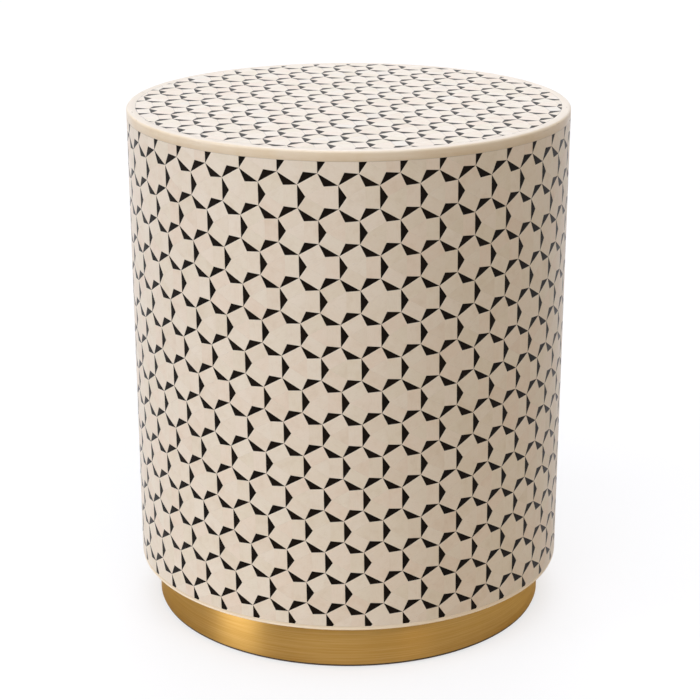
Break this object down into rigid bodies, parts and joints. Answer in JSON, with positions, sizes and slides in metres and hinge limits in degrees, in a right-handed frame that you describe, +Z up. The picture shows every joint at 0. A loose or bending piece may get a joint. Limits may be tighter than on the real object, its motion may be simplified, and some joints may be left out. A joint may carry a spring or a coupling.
{
  "type": "drum stool",
  "caption": "Round drum stool and side table with a tiled mosaic side and top, a cream rim band and a set-back brass plinth.",
  "frame": {"origin": "on the floor, under the middle of the drum", "axes": "+Z up along the drum's axis, front towards -Y, +X to the right seen from the front"},
  "size_m": [0.4199, 0.42, 0.5],
  "materials": {
    "board": "plain fibreboard, sealed",
    "plywood": "thin bent plywood, raw",
    "batten_wood": "planed softwood",
    "side_mosaic": "polished bone and black tiles in resin",
    "bone_tile": "polished bone",
    "black_tile": "polished black horn",
    "cream_band": "polished cream resin",
    "satin_brass": "brushed satin brass",
    "pad_rubber": "matt black rubber"
  },
  "bodies": {
    "root": {"top_board": "board", "bottom_board": "board", "middle_hoop": "plywood", "back_wall": "plywood", "front_wall": "plywood", "side_tile_layer": "side_mosaic", "rim_band": "cream_band", "lower_band": "cream_band", "top_black_triangles": "black_tile", "top_bone_rosettes": "bone_tile", "brass_band": "satin_brass", "floor_pads": "pad_rubber", "upright_1": "batten_wood", "upright_2": "batten_wood", "upright_3": "batten_wood", "upright_4": "batten_wood", "glue_block_1": "batten_wood", "glue_block_2": "batten_wood", "glue_block_3": "batten_wood", "glue_block_4": "batten_wood", "glue_block_5": "batten_wood", "glue_block_6": "batten_wood", "glue_block_7": "batten_wood", "glue_block_8": "batten_wood", "plinth_segment_1": "board", "plinth_segment_2": "board", "plinth_segment_3": "board", "plinth_segment_4": "board", "plinth_segment_5": "board", "plinth_segment_6": "board", "plinth_segment_7": "board", "plinth_segment_8": "board"}
  },
  "joints": []
}
